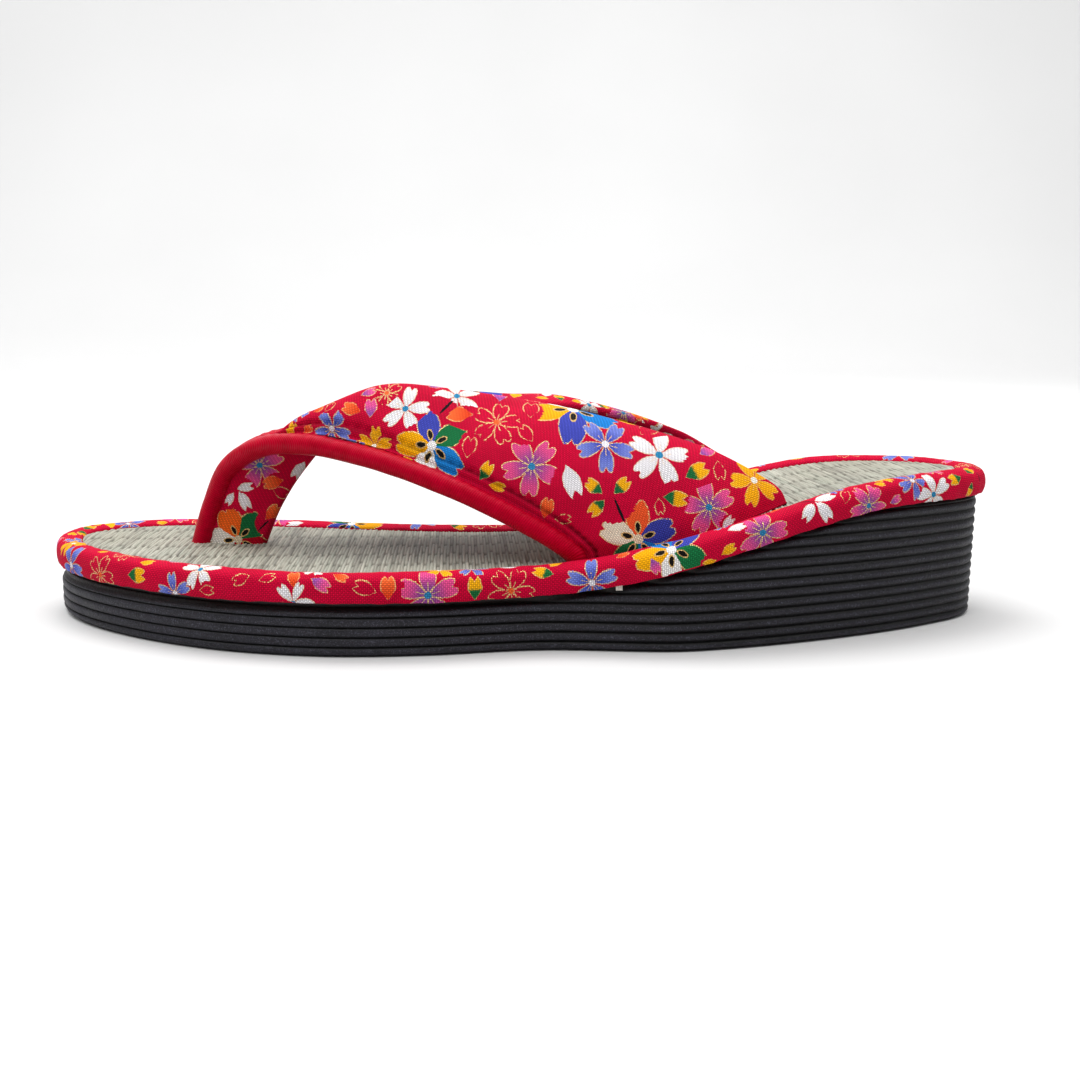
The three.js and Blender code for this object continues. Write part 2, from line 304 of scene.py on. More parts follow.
# Painted shade under the rim: dark brown over the set-back top of the wall.
rim_shade_fac = node("Attribute", attribute_name="under_rim").outputs["Fac"]
rim_shaded = node("MixRGB", node("MULTIPLY", rim_shade_fac, 0.9), shaded, "#140c09")
rough = node("MapRange", cloud, 0.3, 0.7, 0.46, 0.6)
leather = node("TexNoise", spot, Scale=1500.0, Detail=4.0)
bump = node("Bump", Height=leather, Strength=0.6, Distance=0.0003)
body = node("BsdfPrincipled", Base_Color=rim_shaded, Roughness=rough, Specular_IOR_Level=0.28, Normal=bump)
node("OutputMaterial", body)
wear(foam, eva)
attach(foam, "root")
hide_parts("outsole_foam")


# ==== footbed board ====
# A thin grey board glued on the foam; the ends of the strap are fixed into it. The mat and the
# rim hide it, so the CAD solid stays.

board, node = new_material("pressed_greyboard")
spot = node("TexCoord").outputs["Object"]
fibre = node("TexNoise", spot, Scale=900.0, Detail=5.0, Roughness=0.7)
pulp = node("ValToRGB", fibre, stops=[(0.3, "#6f6350"), (0.7, "#9a8b70")])
bump = node("Bump", Height=fibre, Strength=0.2, Distance=0.0002)
body = node("BsdfPrincipled", Base_Color=pulp, Roughness=0.9, Normal=bump)
node("OutputMaterial", body)
wear(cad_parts["footbed_board"], board)


# ==== rush mat ====
# Dried rush woven on hidden cotton warps: the straws lie side by side across the sole, and each
# dips under every second warp, its neighbour under the ones between, like bricks.

mat_height = 5.5                    # above the foam
relief_base = mat_height - 0.4      # the straws' relief stands on this level
mat_base = 3.9
warp_pitch = 13.0
bed_out = -5.4                      # meets the inner foot of the rim
straw_count = 300                   # 0.77 mm apart
points_across, base_step = 71, 14   # on top of the mat, and one in how many of them below
straw_relief, warp_relief = 0.26, 0.08
tuck_width, tuck_depth = 1.4, 0.3   # along the edge of the mat, under the rim


def bell(gap, width):
    """A bell curve: 1 where the gap is nothing, and fading out over the width."""
    return np.exp(-(gap / width) ** 2)


def side_at(x, name):
    """Where the edge of the bed crosses x, on one side of the sole."""
    turn = np.linspace(0 if name == "lateral" else 2 * np.pi, np.pi, 1200)
    ring = sole_edge(turn) + outwards(turn) * bed_out
    order = np.argsort(ring[:, 0])
    return np.interp(x, ring[order, 0], ring[order, 1])


tips = np.array([0.0, np.pi])
bed_ends = (sole_edge(tips) + outwards(tips) * bed_out)[:, 0]
straw_share = np.array([0.0, 0.18, 0.5, 0.82])
straw = np.append((np.arange(straw_count)[:, None] + straw_share).ravel(), straw_count)
x = bed_ends[0] + (bed_ends[1] - bed_ends[0]) * straw / straw_count
near, far = side_at(x, "lateral"), side_at(x, "medial")
near[[0, -1]] = far[[0, -1]] = (near[[0, -1]] + far[[0, -1]]) / 2
y = near[:, None] + (far - near)[:, None] * np.linspace(0, 1, points_across)
number = np.minimum(np.floor(straw + 1e-6), straw_count - 1)[:, None]
ridge = np.sqrt(np.clip(1 - (2 * (straw[:, None] - number) - 1) ** 2, 0, 1))
# The warps wander a little from straw to straw; a straw rises over one and dips under the next.
wander = 1.3 * np.sin(number * 1.7) + 0.9 * np.sin(number * 0.61 + 1) + 1.1 * np.sin(number * 4.3)
beat = np.cos(np.pi * ((y + wander) / warp_pitch + number))
dip = np.clip(-beat, 0, 1) ** 16
height = straw_relief * (ridge - dip * (0.5 + 0.5 * ridge)) + warp_relief * beat
# No two straws are quite as thick, and the whole mat is a little uneven.
height += 0.05 * np.sin(number * 2.399) + 0.1 * np.sin(x[:, None] / 17) * np.sin(y / 11 + 1)
inside = np.minimum(y - near[:, None], far[:, None] - y)
tuck = bell(inside, tuck_width)                 # pressed flat and tucked under the rim
height = height * (1 - 0.8 * tuck) - tuck_depth * tuck
foam_height = foam_top(x)[:, None]
top = joined(x[:, None], y, foam_height + relief_base + height)
base = top[:, ::-base_step].copy()
base[..., 2] = foam_height + mat_base
mat_points = np.concatenate([top, base], 1)
straw_place = joined(straw[:, None], mat_points[..., 1])
straw_place = np.concatenate([straw_place, straw_place[:, :1]], 1)
# Marks for painted shade: where a straw dips under a warp, and in the gaps between straws.
dip_shade_mark, gap_shade_mark = (np.pad(mark, ((0, 0), (0, base.shape[1])))
                           for mark in (dip, np.broadcast_to(1 - ridge, y.shape)))
mat = surface("rush_mat_woven", mat_points, round_columns=True, cloth=straw_place, weld=True,
              under=dip_shade_mark, valley=gap_shade_mark)

# Dried rush, woven: pale green-grey straws with a silky skin, each its own tone from straw to
# sage, browner in broad random patches, with painted shade in the gaps between straws and where each dips
# under a warp.
rush, node = new_material("woven_rush")
spot = node("UVMap", uv_map="cloth").outputs["UV"]
flat_place = node("SeparateXYZ", spot)
which = node("FLOOR", flat_place.outputs["X"])
lengthwise = node("ADD", node("MULTIPLY", flat_place.outputs["Y"], 1 / (2 * warp_pitch)),
                  node("MULTIPLY", which, 0.5))
stretch = node("FLOOR", lengthwise)
tone = node("TexWhiteNoise", node("CombineXYZ", which, stretch, 0.0), noise_dimensions="3D")
colour = node("ValToRGB", tone, stops=[(0.0, "#85847a"), (0.25, "#a4a396"), (0.5, "#b3b2a5"),
                                       (0.75, "#9fa294"), (1.0, "#c0bfb1")])
drawn_out = node("VectorMath", spot, (9.0, 0.35, 1.0), operation="MULTIPLY")
fibre = node("TexNoise", drawn_out, Scale=1.0, Detail=4.0)
streak = node("ValToRGB", fibre, stops=[(0.3, "#a3a198"), (0.7, "#ffffff")])
streaked = node("MixRGB", 0.5, colour, streak, blend_type="MULTIPLY")
patch = node("TexNoise", node("TexCoord").outputs["Object"], Scale=22.0, Detail=2.0)
lane = node("MixRGB", node("MapRange", patch, 0.45, 0.7, 0.0, 0.25), streaked, "#8b7d68")
# Painted shade in the gaps between straws, stronger on some straws than others.
valley = node("POWER", node("Attribute", attribute_name="valley").outputs["Fac"], 1.7)
gaping = node("TexWhiteNoise", node("CombineXYZ", which, stretch, 5.0), noise_dimensions="3D")
gap = node("MULTIPLY", valley, node("MapRange", gaping, 0.2, 1.0, 0.3, 1.0))
gap_shaded = node("MixRGB", gap, lane, "#2c261c")
# Painted shade where a straw dips under a warp.
under = node("Attribute", attribute_name="under").outputs["Fac"]
dip_shaded = node("MixRGB", node("MULTIPLY", under, 0.6), gap_shaded, "#3a3429")
bump = node("Bump", Height=fibre, Strength=0.35, Distance=0.0002)
body = node("BsdfPrincipled", Base_Color=dip_shaded, Roughness=0.55, Specular_IOR_Level=0.3, Normal=bump)
node("OutputMaterial", body)
wear(mat, rush)
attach(mat, "root")
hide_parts("rush_mat")


# ==== edge binding ====
# A roll of wadding wrapped in printed cotton, all round the deck. The cotton is drawn tight over
# it and glued under the foam's edge, which leaves small soft puckers.

rim_lean = 0.3      # the roll reaches out this share more at the heel, and less at the toe
radian_run = 93     # about the millimetres round the roll for one radian of its turn
# Section of the roll: distance outside the foam's outline, and height above the foam.
rim_section = {
    "out": [-5.5, 0.4, 0.5, 1.0, 1.4, 1.5, 1.35, 0.8, -0.4, -2.0, -3.7, -5.0, -5.5],
    "height": [0.3, 0.3, -0.4, -0.3, 0.8, 2.2, 3.65, 4.95, 5.85, 6.25, 6.1, 5.7, 5.2],
}
rim_keys = np.arange(len(rim_section["out"]))
round_section = np.concatenate([[0, 0.5], np.linspace(1, rim_keys[-1], 45)])
rim_turns = all_round(1000)


def rim(turn, row, swell):
    """The roll: its section stands square to the outline, at the height of the foam there, and
    swell puffs it out square to its own skin."""
    def section(k):
        k = np.clip(k, 0, rim_keys[-1])
        return [through(rim_keys, rim_section[name], k) for name in ("out", "height")]
    (o, h), (o1, h1), (o2, h2) = section(row), section(row - 0.1), section(row + 0.1)
    length = np.hypot(o2 - o1, h2 - h1) + 1e-9
    o, h = o + swell * (h2 - h1) / length, h - swell * (o2 - o1) / length
    p, n = sole_edge(turn), outwards(turn)
    lean = np.where(o > 0, 1 + rim_lean * (p[..., 0] - middle) / half_length, 1)
    q = p + n * (o * lean)[..., None]
    return np.concatenate([q, (foam_top(q[..., 0]) + h)[..., None]], -1)


def rim_puckers(turn, row):
    """Shallow puckers across the roll, uneven in spacing, strongest where the cotton turns under
    the edge and down to the mat."""
    along = turn * radian_run
    wave = np.sin(along * 0.9 + 1.3 * np.sin(along * 0.21)) * np.sin(along * 0.37 + 0.8)
    slow = np.sin(along * 0.11 + 2) * np.sin(along * 0.047)
    ends = bell(row - 3, 1.6) + 0.8 * bell(row - 11, 1.2)
    return 0.10 * wave * (0.35 + ends) + 0.14 * slow


turn, row = np.meshgrid(rim_turns, round_section, indexing="ij")
rim_points = rim(turn, row, rim_puckers(turn, row))


def lengths(points, axis, close=False):
    """How far along the rows or columns of a grid each point is; with close, one point more that
    comes back to the first."""
    if close:
        points = np.concatenate([points, points.take([0], axis)], axis)
    step = np.linalg.norm(np.diff(points, axis=axis), axis=-1)
    return np.concatenate([np.zeros_like(step.take([0], axis)), np.cumsum(step, axis)], axis)


widest_column, side_row = 26, 250       # where the roll's girths are measured
rim_along = lengths(rim_points[:, [widest_column]], 0, close=True)
rim_up = lengths(rim_points[[side_row]], 1, close=True)
rim_up = rim_up - rim_up[0, np.searchsorted(round_section, 2.0)]
binding = surface("binding_roll", rim_points, round_rows=True, round_columns=True,
                  cloth=joined(rim_along, rim_up))

# The large blossoms of the print, a row each: the heart, the widest half-width of a petal as a
# share of its length, and the five petals, anticlockwise from the first.
large_blossoms = {
    "large_a": ("#f4f2f0", 0.32, "#4048b0", "#faae0a", "#f6f2f0", "#1b7fd0", "#17713f"),
    "large_b": ("#f4f2f0", 0.32, "#faae0a", "#4048b0", "#1b7fd0", "#17713f", "#f6f2f0"),
    "large_c": ("#e9d6b4", 0.32, "#f2582a", "#ece0c8", "#17713f", "#1b6fb8", "#3b3f9c"),
    "large_d": ("#f4f2f0", 0.32, "#f6f2f0", "#17713f", "#4048b0", "#1b7fd0", "#faae0a"),
    "large_e": ("#e9d6b4", 0.42, "#f2641e", "#ece6dc", "#b4001f", "#b4001f", "#176b3a"),
}
# Every kind of motif: colour near the heart of a petal, colour at its tip, the heart, the widest
# half-width and the notch as shares of the petal's length, how sharply the colours change, and
# how strongly it is outlined in gold. Whole blossoms come first, then the large ones, then the
# kinds that are one petal, bud or twig.
clear = "#ffffff00"         # draws nothing
kinds = {
    "white": ("#e8e3e8", "#f2eff2", "#2b86b4", 0.27, 0.15, 1.5, 0.6),
    "pink": ("#8a4a94", "#e84f8e", "#2f7fae", 0.32, 0.16, 2.2, 1.0),
    "blue": ("#3a45b0", "#7482d4", "#e8e4ec", 0.27, 0.15, 1.8, 0.9),
    "outline": (clear, clear, "#f0622e", 0.33, 0.16, 1.0, 1.0),
    "yellow": ("#f0a000", "#ffb81a", "#f4f0e4", 0.29, 0.18, 1.0, 0.4),
    **{name: ("#000000", "#000000", heart, widest, 0.10, 1.0, 1.0)
       for name, (heart, widest, *_) in large_blossoms.items()},
    "bud": ("#1c6a38", "#f8b012", clear, 0.31, 0.20, 14.0, 0.8),
    "orange": ("#e8401c", "#fb6a33", clear, 0.33, 0.14, 1.6, 0.7),
    "rose": ("#9a50a4", "#ec5596", clear, 0.32, 0.16, 2.2, 0.9),
    "petal": ("#e8e3e8", "#f2eff2", clear, 0.26, 0.22, 1.0, 0.5),
    "line": (clear, clear, clear, 0.32, 0.18, 1.0, 1.0),
    "gold": ("#f0a000", "#ffb81a", clear, 0.30, 0.16, 1.0, 0.4),
    "twig": ("#17121a", "#17121a", clear, 0.05, 0.02, 1.0, 0.0),
}
kind_names = list(kinds)
blank = len(kinds)
first_large, first_single = kind_names.index("large_a"), kind_names.index("bud")


def lay_print(piece, points, normals, tangents, spots, layer):
    """Lays one layer of the print on a grid's faces. Each face takes the motif whose middle is
    nearest, counted in that motif's own size, and each corner of the face keeps where it is on
    that motif, in millimetres along and across it, with the motif's radius. spots are rows of
    (kind, grid row, grid column, turn in degrees, radius)."""
    mesh = piece.data
    corner = np.zeros(len(mesh.loops), np.int32)
    mesh.loops.foreach_get("vertex_index", corner)
    face_points, face_normals = (a.reshape(-1, 3)[corner].reshape(-1, 4, 3) for a in (points, normals))
    middles, facing = face_points.mean(1), face_normals.mean(1)
    best = np.full(len(middles), 1.25)      # a motif ends at this many times its size
    place = np.zeros((len(middles), 4, 3))
    kind_of = np.full(len(middles), float(blank))
    for kind, i, j, turn, radius in spots:
        centre, normal, along = points[i, j], normals[i, j], tangents[i, j]
        across = np.cross(normal, along)
        c, s = np.cos(np.radians(turn)), np.sin(np.radians(turn))
        first, second = along * c + across * s, across * c - along * s
        index = kind_names.index(kind)
        single = index >= first_single
        heart = centre - first * (radius / 2 if single else 0)
        reach = np.linalg.norm(middles - centre, axis=1) / (radius * (0.75 if single else 1.05))
        reach[facing @ normal < 0.1] = np.inf       # not through to the far face of the cloth
        mine = reach < best
        best[mine], kind_of[mine] = reach[mine], index
        away = face_points[mine] - heart
        p, q = away @ first, away @ second
        true = np.linalg.norm(away, axis=-1) / np.maximum(np.hypot(p, q), 1e-6)
        place[mine] = joined(p * true, q * true, radius)
    for name, kept, domain, key, value in (("motif_", "FLOAT_VECTOR", "CORNER", "vector", place),
                                           ("kind_", "FLOAT", "FACE", "value", kind_of)):
        made = mesh.attributes.new(name + layer, kept, domain)
        made.data.foreach_set(key, value.ravel().astype(np.float32))


def unit(v):
    """Vectors at length 1."""
    return v / np.maximum(np.linalg.norm(v, axis=-1, keepdims=True), 1e-9)


def frames_of(points, round_rows, round_columns):
    """The direction along the rows of a grid and the normal of its surface, at every point."""
    def step(axis, close):
        if close:
            return np.roll(points, -1, axis) - np.roll(points, 1, axis)
        return np.gradient(points, axis=axis)
    along, across = step(0, round_rows), step(1, round_columns)
    return unit(along), unit(np.cross(along, across))


# The print on the rim. Each row of a kind: millimetres along the rim from the toe by way of the
# little toe, millimetres up the roll from its lower lip, turn in degrees, radius.
rim_chart = {
    "white": [(72.5, 7.5, 25, 5), (257.5, 2.5, 100, 6), (101, 11, 10, 3.5)],
    "pink": [(127, 2.5, 90, 7), (206.5, 4, 65, 6.5), (236.5, 2.5, 50, 5.5), (262, 11, 0, 3.5)],
    "blue": [(26, 3, 60, 6), (14, 11, 20, 3.5), (66, 1, 100, 5), (138, 10, 80, 4),
             (165.5, 2.5, 85, 6), (251, 7, 55, 5), (228.5, 11, 40, 3.5), (198, 11, 0, 3)],
    "outline": [(40.5, 2.5, 65, 5), (46, 11, 0, 4), (146.5, 2.5, 60, 5.5), (284, 10.5, 30, 4)],
    "yellow": [(19.5, 9.5, 160, 4.5), (130, 10, 85, 4), (244, 11, 10, 3.5)],
    "large_d": [(184, 6.5, -105, 9)],
    "bud": [(54, 4, 5, 6), (138, 3.5, 90, 5.5), (154, 6.5, 160, 5), (266, 6, 190, 5),
            (274.5, 7.5, 20, 4.5), (271.5, 2.5, 250, 4)],
    "orange": [(96.5, 7, 100, 4.5), (107.5, 7.5, -30, 4), (118, 4.5, 90, 5.5), (212, 10.5, 40, 4),
               (108.5, 11.5, 0, 3), (172.5, 8.5, 30, 3.5)],
    "rose": [(8, 6, 100, 4), (62, 11, 0, 4), (103, 5.5, -30, 5), (244.5, 2.5, 20, 3.5),
             (118, 11, 20, 3.5)],
    "petal": [(200.5, 7.5, 5, 5), (225, 8, 5, 6), (219.5, 5.5, 220, 5.5), (223, 4.5, 290, 6),
              (146, 10, 0, 4)],
    "line": [(75.5, 2.5, 5, 4), (84, 6, -155, 4.5), (90.5, 6.5, 25, 4), (113, 4.5, 160, 5.5),
             (230, 6.5, 60, 4)],
    "gold": [(37, 9.5, 30, 3), (56, 8, 10, 4), (3, 10, 0, 4), (157, 9.5, 200, 3.5),
             (197.5, 2.5, 15, 4), (193, 1, -175, 3.5), (241, 7.5, -15, 3)],
    "twig": [(220, 9, 135, 4.5), (276.5, 5, 80, 3.5)],
}
rim_over = {"white": [(96.5, 0, 135, 5)], "rose": [(180, 3.5, -75, 4)]}
half_round = rim_along[len(rim_turns) // 2, 0]
# The far side's repeat is moved up the roll, and what passes the top comes in again below.
far_lift, print_height = 4.5, 12.4


def rows_of(chart):
    """The rows of a chart one after another, each with its kind in front."""
    return [(kind, *row) for kind, rows in chart.items() for row in rows]


def on_rim(chart):
    """Finds the grid point of each row of the chart. The far side takes the same repeat again,
    moved up the roll, from the heel back to the toe, with its white blossoms in yellow."""
    rows = rows_of(chart)
    rows += [("yellow" if kind == "white" else kind, along + half_round, (up + far_lift) % print_height,
              turn, radius) for kind, along, up, turn, radius in rows]
    return [(kind, np.argmin(np.abs(rim_along[:-1, 0] - along)), np.argmin(np.abs(rim_up[0, :-1] - up)),
             turn, radius) for kind, along, up, turn, radius in rows]


tangents, normals = frames_of(rim_points, True, True)
lay_print(binding, rim_points, normals, tangents, on_rim(rim_chart), "under")
lay_print(binding, rim_points, normals, tangents, on_rim(rim_over), "over")


def draw_motifs(node, layer, ground, spot, beads):
    """Draws one layer of the print over a ground colour. Every motif is one or five petals round
    a heart. A fold in five brings each petal on to the same axis, and a curve gives the outline of
    one petal: a notched wedge, or a leaf shape on the large and the single ones. Its colours come
    from the tables by kind. beads is where the threads stand up and take the gold. Returns the
    colour, and where gold is printed."""
    place = node("Attribute", attribute_name="motif_" + layer).outputs["Vector"]
    kind = node("Attribute", attribute_name="kind_" + layer).outputs["Fac"]

    # A wavering hand: the place is moved about by up to a quarter of a millimetre.
    wobble = node("TexNoise", spot, Scale=1.6, Detail=2.0).outputs["Color"]
    moved = node("VectorMath", wobble, (0.5, 0.5, 0.0), place, operation="MULTIPLY_ADD")
    part = node("SeparateXYZ", node("VectorMath", moved, (-0.25, -0.25, 0.0), operation="ADD"))
    radius = node("MAXIMUM", part.outputs["Z"], 0.5)
    p, q = (node("DIVIDE", part.outputs[axis], radius) for axis in ("X", "Y"))
    turn = node("ARCTAN2", q, p)
    fifth = 2 * np.pi / 5
    petal = node("ROUND", node("DIVIDE", turn, fifth))
    aside = node("MULTIPLY_ADD", petal, -fifth, turn)
    reach = node("VectorMath", node("CombineXYZ", p, q, 0.0), operation="LENGTH").outputs["Value"]
    x = node("MULTIPLY", reach, node("COSINE", aside))
    y = node("ABSOLUTE", node("MULTIPLY", reach, node("SINE", aside)))

    def pick(number, codes):
        """The colour that a whole number picks from a list."""
        step = 1 / len(codes)
        ramp = node("ValToRGB", node("MULTIPLY_ADD", number, step, step / 2),
                    stops=[(k * step, code) for k, code in enumerate(codes)])
        ramp.color_ramp.interpolation = "CONSTANT"
        return ramp

    def number_by_kind(column, most):
        """Each kind's own number, kept as a share of the most it can be, in the alpha of a ramp."""
        shares = ["#000000%02x" % int(round(255 * row[column] / most)) for row in kinds.values()]
        return node("MULTIPLY", pick(kind, shares + ["#00000000"]).outputs["Alpha"], most)

    inner, outer, heart = (pick(kind, [row[k] for row in kinds.values()] + [clear]) for k in range(3))
    widest, notch, sharp, outlined = (number_by_kind(column, most)
                                      for column, most in ((3, 0.5), (4, 0.5), (5, 16.0), (6, 1.0)))
    wedge = node("FloatCurve", 1.0, x, points=[(0.0, 0.08), (0.12, 0.28), (0.3, 0.66), (0.5, 0.92),
                                               (0.68, 1.0), (0.84, 0.95), (0.94, 0.82), (1.0, 0.66)])
    oval = node("FloatCurve", 1.0, x, points=[(0.0, 0.02), (0.12, 0.38), (0.3, 0.8), (0.5, 1.0),
                                              (0.68, 0.98), (0.84, 0.84), (0.94, 0.68), (1.0, 0.55)])
    leafy = node("GREATER_THAN", kind, first_large - 0.5)
    single = node("GREATER_THAN", kind, first_single - 0.5)
    profile = node("MULTIPLY_ADD", node("SUBTRACT", oval, wedge), leafy, wedge)
    side = node("SUBTRACT", node("MULTIPLY", profile, widest), y)
    tip = node("MINIMUM", 1.0, node("MULTIPLY_ADD", y, 1.5, node("SUBTRACT", 1.0, notch)))
    depth = node("MINIMUM", side, node("SUBTRACT", tip, x))
    other = node("MULTIPLY", single, node("GREATER_THAN", node("ABSOLUTE", petal), 0.5))
    cover = node("MULTIPLY", node("GREATER_THAN", depth, 0.0), node("SUBTRACT", 1.0, other))

    streak = node("TexNoise", spot, Scale=4.0, Detail=2.0)
    change = node("SUBTRACT", node("MULTIPLY_ADD", streak, 0.3, x), 0.6)
    fade = node("Clamp", node("MULTIPLY_ADD", change, sharp, 0.5))
    is_large = node("MULTIPLY", leafy, node("LESS_THAN", kind, first_single - 0.5))
    petal_number = node("FLOORED_MODULO", petal, 5.0)
    large = pick(node("MULTIPLY_ADD", node("SUBTRACT", kind, float(first_large)), 5.0, petal_number),
                 [code for row in large_blossoms.values() for code in row[2:]])
    paint = node("MixRGB", is_large, node("MixRGB", fade, inner, outer), large)
    colour = node("MixRGB", node("MULTIPLY", cover, outer.outputs["Alpha"]), ground, paint)

    # Gold: a broken outline 0.3 mm wide, and a fine line up the middle of each petal's foot.
    gold_width, line_half, line_length = 0.3, 0.11, 0.42
    broken = node("GREATER_THAN", node("TexNoise", spot, Scale=1.1, Detail=1.0), 0.38)
    fine = node("LESS_THAN", depth, node("DIVIDE", gold_width, radius))
    foot = node("MULTIPLY", node("LESS_THAN", x, line_length), node("SUBTRACT", 1.0, single))
    stamen = node("MULTIPLY", node("LESS_THAN", node("MULTIPLY", y, radius), line_half), foot)
    gold = node("MULTIPLY", node("MULTIPLY", node("MAXIMUM", fine, stamen), cover),
                node("MULTIPLY", outlined, node("MULTIPLY", beads, broken)))
    colour = node("MixRGB", gold, colour, "#e2bd80")

    # The large blossoms have a black seed with a gold ring on the foot of each petal.
    seed_at, seed_long, seed_wide, ring_size, eye_radius = 0.30, 0.12, 0.06, 1.9, 0.125
    seed = node("ADD", node("POWER", node("DIVIDE", node("SUBTRACT", x, seed_at), seed_long), 2.0),
                node("POWER", node("DIVIDE", y, seed_wide), 2.0))
    for size, code in ((ring_size, "#d8b070"), (1.0, "#15110f")):
        colour = node("MixRGB", node("MULTIPLY", is_large, node("LESS_THAN", seed, size)), colour, code)
    eye = node("MULTIPLY", node("LESS_THAN", reach, eye_radius), heart.outputs["Alpha"])
    return node("MixRGB", eye, colour, heart), gold


# Printed cotton, plain woven and unglazed: a deep red ground, blossoms in flat ink, fine gold
# outlines that catch the light thread by thread. The threads are drawn 0.46 mm apart, a little
# coarser than real ones so that they show, as a chequer of warp over weft and weft over warp.
thread = 0.46
cotton, node = new_material("printed_cotton")
spot = node("UVMap", uv_map="cloth").outputs["UV"]
flat_place = node("SeparateXYZ", spot)
waves = [node("SINE", node("MULTIPLY", flat_place.outputs[axis], np.pi / thread)) for axis in ("X", "Y")]
chequer = node("MULTIPLY", *waves)
weave = node("ABSOLUTE", chequer)
beads = node("MapRange", weave, 0.1, 0.4, 0.25, 1.0)
drawn_out = node("VectorMath", spot, (0.25, 2.2, 1.0), operation="MULTIPLY")
slub = node("TexNoise", drawn_out, Scale=1.0, Detail=3.0)
cloud = node("TexNoise", spot, Scale=0.09, Detail=2.0)
ground = node("ValToRGB", cloud, stops=[(0.3, "#c20030"), (0.7, "#d20037")])
colour, gold = draw_motifs(node, "under", ground, spot, beads)
colour, gold_over = draw_motifs(node, "over", colour, spot, beads)
gold = node("MAXIMUM", gold, gold_over)
# Painted shade along the sunk seam: the colour is darkened to half there.
seam_shade_fac = node("Attribute", attribute_name="seam").outputs["Fac"]
shade = node("MapRange", weave, 0.0, 0.7, 0.5, 1.12)
for value, *span in ((chequer, -0.5, 0.5, 0.84, 1.16), (slub, 0.3, 0.7, 0.92, 1.06),
                     (seam_shade_fac, 0.0, 1.0, 1.0, 0.5)):
    shade = node("MULTIPLY", shade, node("MapRange", value, *span))
colour = node("VectorMath", colour, Scale=shade, operation="SCALE")
bump = node("Bump", Height=weave, Strength=0.6, Distance=0.00015)
rough = node("MapRange", gold, 0.0, 1.0, 0.8, 0.42)
body = node("BsdfPrincipled", Base_Color=colour, Roughness=rough, Specular_IOR_Level=0.08, Normal=bump,
            Metallic=node("MULTIPLY", gold, 0.4))
node("OutputMaterial", body)
wear(binding, cotton)
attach(binding, "root")
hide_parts("edge_binding")


# ==== white tab ====
# A tiny end of blank white tape that the maker left under the rim, on the little-toe side. It
# hangs down the wall of the foam and stands off it a little towards its end.

tab_x, tab_half, tab_thick = 21.3, 0.8, 0.15
tab_off = 0.42                      # from the foam's outline to the middle of the tape
tab_z = np.linspace(17.6, 14.9, 8)[:, None]
tab_hang = np.linspace(0, 0.5, 8)[:, None]


def blunt(wave, power):
    """A wave with its crests flattened, which makes a rounded oblong of a circle."""
    return np.sign(wave) * np.abs(wave) ** power


wall_y = sole_edge(np.arccos((middle - tab_x) / half_length))[1]
corner = all_round(16)
tab_points = joined(tab_x + tab_half * blunt(np.cos(corner), 0.3) + 0.2 * tab_hang,
                    wall_y - tab_off - tab_thick * blunt(np.sin(corner), 0.5) - 0.5 * tab_hang, tab_z)
tab_tips = np.repeat(tab_points[[0, -1]].mean(1, keepdims=True), len(corner), 1)
tab_points = np.concatenate([tab_tips[:1], tab_points, tab_tips[1:]])
tab = surface("white_tab", tab_points[::-1], round_columns=True, weld=True)

# Cotton tape, plain and matt white.
tape, node = new_material("white_cotton_tape")
cloud = node("TexNoise", node("TexCoord").outputs["Object"], Scale=2500.0)
tone = node("ValToRGB", cloud, stops=[(0.3, "#b4aca2"), (0.7, "#d8d2c8")])
node("OutputMaterial", node("BsdfPrincipled", Base_Color=tone, Roughness=0.85))
wear(tab, tape)
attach(tab, "root")


# ==== strap ====
# Two padded bands of printed cotton over thin foam. They are pinched together between the first
# two toes, open over the instep, and go down into the footbed at the sides of the arch.

# The three long lines of each band. Places along them are counted in steps from 0, at the foot
# of the toe post, to 16, in the footbed beside the arch; each column lies at its own step.
steps = [0, 2, 4, 6, 8, 9, 10, 11, 12, 14, 15, 16]

# The strap's front edge, which is the middle of its piping.
front_edge = {
    "x": [-82.5, -79, -74, -64, -51.5, -44.5, -34.5, -23, -12.5, 4, 11.5, 13],
    "lateral": [6.5, 6, 3.5, -2.5, -9.5, -12.5, -17.5, -22.5, -26, -30, -31, -31],
    "medial": [12.5, 12, 11, 10.5, 14.5, 16.5, 18, 18.5, 18.5, 17.5, 17, 17],
    "lateral_z": [17.5, 28.5, 38.5, 44.5, 45.5, 44.5, 42.5, 39, 35, 27, 22, 19.5],
}
front_edge["medial_z"] = front_edge["lateral_z"]

# The middle of each band.
crown = {
    "x": [-74, -70.5, -64, -55, -42, -33.5, -22, -9.5, 3, 24.5, 36, 38.5],
    "lateral": [4.5, 4.5, 2.5, -2, -6, -8, -11.5, -16, -22, -30, -33, -34],
    "lateral_z": [17.5, 28.5, 39.5, 49, 56, 58, 56, 52.5, 49.5, 40, 31, 25.5],
    "medial": [9, 8.5, 8.5, 10, 11.5, 12.5, 13.5, 15, 17, 20.5, 22, 22],
    "medial_z": [17.5, 28.5, 39.5, 49, 55, 56, 55, 53.5, 52.5, 44.5, 33, 25.5],
}

